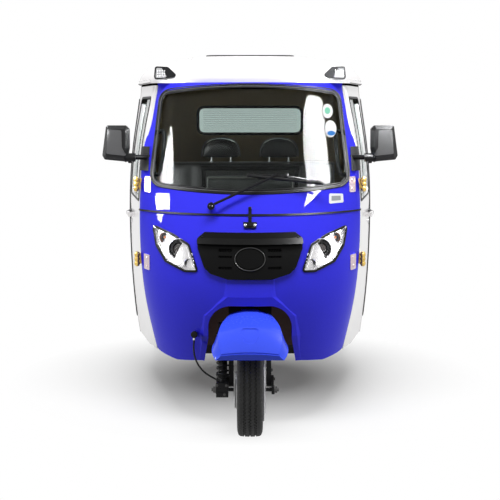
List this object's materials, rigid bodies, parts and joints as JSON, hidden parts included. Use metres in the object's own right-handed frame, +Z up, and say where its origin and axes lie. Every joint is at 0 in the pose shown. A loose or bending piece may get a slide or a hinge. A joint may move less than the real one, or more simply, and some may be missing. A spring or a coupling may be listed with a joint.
{
  "type": "three wheeled auto rickshaw",
  "caption": "Three wheeled auto rickshaw with an enclosed cab, handlebar steering, hinged side doors, a rear bench and a rear engine lid.",
  "frame": {"origin": "on the ground, midway between the foremost and rearmost points, on the centre plane", "axes": "+Z up, the nose faces -Y, +X to the right of someone looking at the nose"},
  "size_m": [1.3974, 2.7399, 1.72],
  "materials": {
    "blue_paint": "gloss",
    "white_paint": "gloss",
    "black_plastic": "matte",
    "rubber_seal": "satin",
    "lamp_reflector": "gloss",
    "clear_glass": "gloss",
    "mirror_glass": "gloss",
    "black_steel": "satin",
    "cast_aluminium": "satin",
    "trim_board": "matte",
    "seat_vinyl": "satin",
    "red_lens": "gloss",
    "tyre_rubber": "matte",
    "silver_rim": "gloss",
    "gold_hinge": "satin"
  },
  "bodies": {
    "chassis": {"nose_panel": "blue_paint", "grille_panel": "black_plastic", "headlamp_bowls": "lamp_reflector", "headlamp_lenses": "clear_glass", "windscreen_frame": "blue_paint", "windscreen_glass": "clear_glass", "windscreen_seal": "rubber_seal", "seam_bead": "rubber_seal", "bonnet_latch": "black_plastic", "wiper": "black_plastic", "mirror_cases": "black_plastic", "mirror_glasses": "mirror_glass", "roof_shell": "white_paint", "roof_vent": "black_plastic", "marker_lamps": "black_plastic", "side_frame_left": "white_paint", "side_frame_right": "white_paint", "rear_quarter_left": "white_paint", "rear_quarter_right": "white_paint", "rear_wall": "white_paint", "rear_window": "clear_glass", "floor_pan": "black_steel", "toe_board": "black_steel", "dashboard": "black_plastic", "driver_seat_base": "black_steel", "partition_frame": "black_steel", "driver_cushion": "seat_vinyl", "driver_backrest": "seat_vinyl", "bench_cushion": "seat_vinyl", "bench_backrest": "seat_vinyl", "bench_panel": "trim_board", "headrests": "seat_vinyl", "chassis_rails": "black_steel", "crossmembers": "black_steel", "deck_posts": "black_steel", "rear_suspension": "black_steel", "engine_block": "cast_aluminium", "rear_bumper": "black_steel", "tail_lamps": "red_lens", "exhaust": "black_steel", "mudflaps": "black_plastic"},
    "steering": {"fork": "black_steel", "front_link": "black_steel", "mudguard": "blue_paint", "handlebar": "black_steel", "brake_hose": "rubber_seal"},
    "front_wheel": {"front_tyre": "tyre_rubber", "front_rim": "silver_rim"},
    "rear_wheel_left": {"rear_tyre_left": "tyre_rubber", "rear_rim_left": "silver_rim"},
    "rear_wheel_right": {"rear_tyre_right": "tyre_rubber", "rear_rim_right": "silver_rim"},
    "door_left": {"door_panel_left": "white_paint", "door_glass_left": "clear_glass", "door_hinges_left": "gold_hinge"},
    "door_right": {"door_panel_right": "white_paint", "door_glass_right": "clear_glass", "door_hinges_right": "gold_hinge"},
    "engine_lid": {"engine_lid": "white_paint"}
  },
  "joints": [
    {"name": "steering", "type": "hinge", "parent": "chassis", "child": "steering", "pos_m": [0, -1.13, 0.207], "axis": [0, 0.4226, 0.9063], "range_deg": [-38, 38], "deforming": ["brake_hose"]},
    {"name": "front_wheel_spin", "type": "hinge", "parent": "steering", "child": "front_wheel", "pos_m": [0, -1.13, 0.207], "axis": [1, 0, 0], "continuous": true},
    {"name": "rear_wheel_left_spin", "type": "hinge", "parent": "chassis", "child": "rear_wheel_left", "pos_m": [0.538, 0.82, 0.207], "axis": [1, 0, 0], "continuous": true},
    {"name": "rear_wheel_right_spin", "type": "hinge", "parent": "chassis", "child": "rear_wheel_right", "pos_m": [-0.538, 0.82, 0.207], "axis": [1, 0, 0], "continuous": true},
    {"name": "door_left_hinge", "type": "hinge", "parent": "chassis", "child": "door_left", "pos_m": [0.541, -0.664, 0.9], "axis": [0, 0, -1], "range_deg": [0, 65]},
    {"name": "door_right_hinge", "type": "hinge", "parent": "chassis", "child": "door_right", "pos_m": [-0.541, -0.664, 0.9], "axis": [0, 0, 1], "range_deg": [0, 65]},
    {"name": "engine_lid_hinge", "type": "hinge", "parent": "chassis", "child": "engine_lid", "pos_m": [0, 1.31, 0.762], "axis": [1, 0, 0], "range_deg": [0, 75]}
  ]
}
